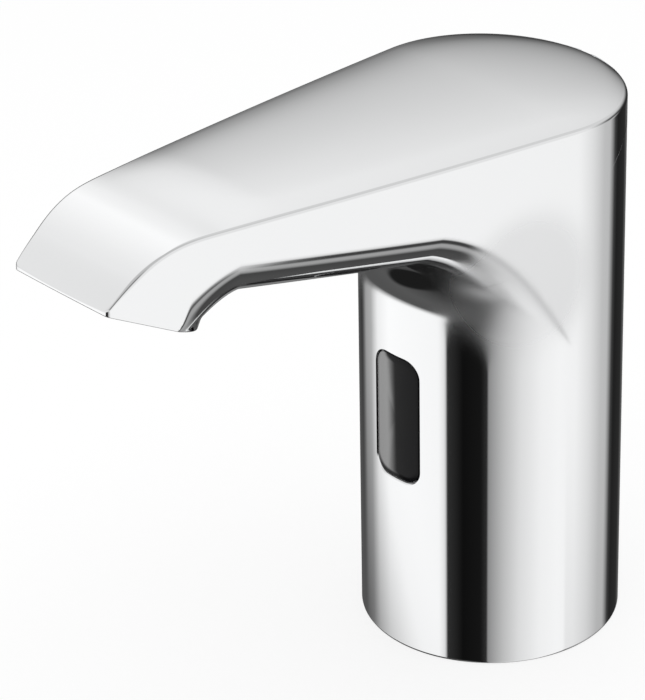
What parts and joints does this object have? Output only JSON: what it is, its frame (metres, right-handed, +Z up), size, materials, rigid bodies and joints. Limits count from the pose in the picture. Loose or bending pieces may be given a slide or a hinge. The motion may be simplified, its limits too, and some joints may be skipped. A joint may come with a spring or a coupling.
{
  "type": "sensor tap",
  "caption": "Chrome electronic basin tap with a round column, a flat-topped forward spout and an infrared sensor window.",
  "frame": {"origin": "on the deck, at the column's axis and the mouth of the inlet port", "axes": "+Z up along the column's axis, -Y forward along the spout, +X to the user's left as they face the tap"},
  "size_m": [0.05, 0.1288, 0.1148],
  "materials": {
    "chrome_body": "polished chrome plate",
    "black_lens": "gloss black, clear to infrared",
    "brass_bare": "turned brass",
    "steel_bright": "zinc-plated and stainless steel",
    "valve_plastic": "white glass-filled nylon",
    "grey_plastic": "grey acetal",
    "black_plastic": "black ABS",
    "black_rubber": "black EPDM",
    "copper_winding": "varnished copper wire under tape",
    "tube_plastic": "white polyethylene pipe",
    "board_green": "green solder resist",
    "clear_epoxy": "dark tinted epoxy",
    "led_red": "red diffused epoxy"
  },
  "bodies": {
    "body": {"tap_body": "chrome_body", "base_plate": "brass_bare", "base_seal": "black_rubber", "base_screws": "steel_bright", "cable_grommet": "black_rubber", "inlet_washer": "black_rubber", "inlet_strainer": "grey_plastic", "check_housing": "grey_plastic", "check_spring": "steel_bright", "valve_body": "valve_plastic", "valve_screws": "steel_bright", "diaphragm": "black_rubber", "valve_bonnet": "valve_plastic", "bonnet_screws": "steel_bright", "core_tube": "steel_bright", "fixed_core": "steel_bright", "plunger_spring": "steel_bright", "coil_yoke": "steel_bright", "coil_bobbin": "black_plastic", "coil_winding": "copper_winding", "coil_nut": "steel_bright", "coil_terminals": "brass_bare", "spout_pipe": "tube_plastic", "pipe_ring": "black_rubber", "pipe_collet": "grey_plastic", "outlet_fitting": "brass_bare", "outlet_ring": "black_rubber", "aerator_shell": "grey_plastic", "aerator_seal": "black_rubber", "aerator_grid": "valve_plastic", "aerator_screen": "steel_bright", "flow_limiter": "grey_plastic", "sensor_window": "black_lens", "window_gasket": "black_rubber", "sensor_housing": "black_plastic", "sensor_screws": "steel_bright", "sensor_board": "board_green", "ir_emitter": "clear_epoxy", "ir_receiver": "clear_epoxy", "status_led": "led_red", "control_chip": "black_plastic"},
    "plunger": {"plunger": "steel_bright", "plunger_tip": "black_rubber"},
    "main_valve": {"diaphragm_core": "grey_plastic"},
    "check_valve": {"check_poppet": "valve_plastic", "check_seal": "black_rubber"}
  },
  "joints": [
    {"name": "plunger_lift", "type": "slide", "parent": "body", "child": "plunger", "axis": [0, 0, 1], "range_m": [0, 0.0018], "stiffness_N_per_m": 150, "deforming": ["plunger_spring"]},
    {"name": "diaphragm_lift", "type": "slide", "parent": "body", "child": "main_valve", "axis": [0, 0, 1], "range_m": [0, 0.0012], "deforming": ["diaphragm"]},
    {"name": "check_lift", "type": "slide", "parent": "body", "child": "check_valve", "axis": [0, 0, 1], "range_m": [0, 0.0025], "stiffness_N_per_m": 60, "deforming": ["check_spring"]}
  ],
  "couplings": [
    {"joint": "diaphragm_lift", "follows": "plunger_lift", "ratio": 0.66667}
  ]
}
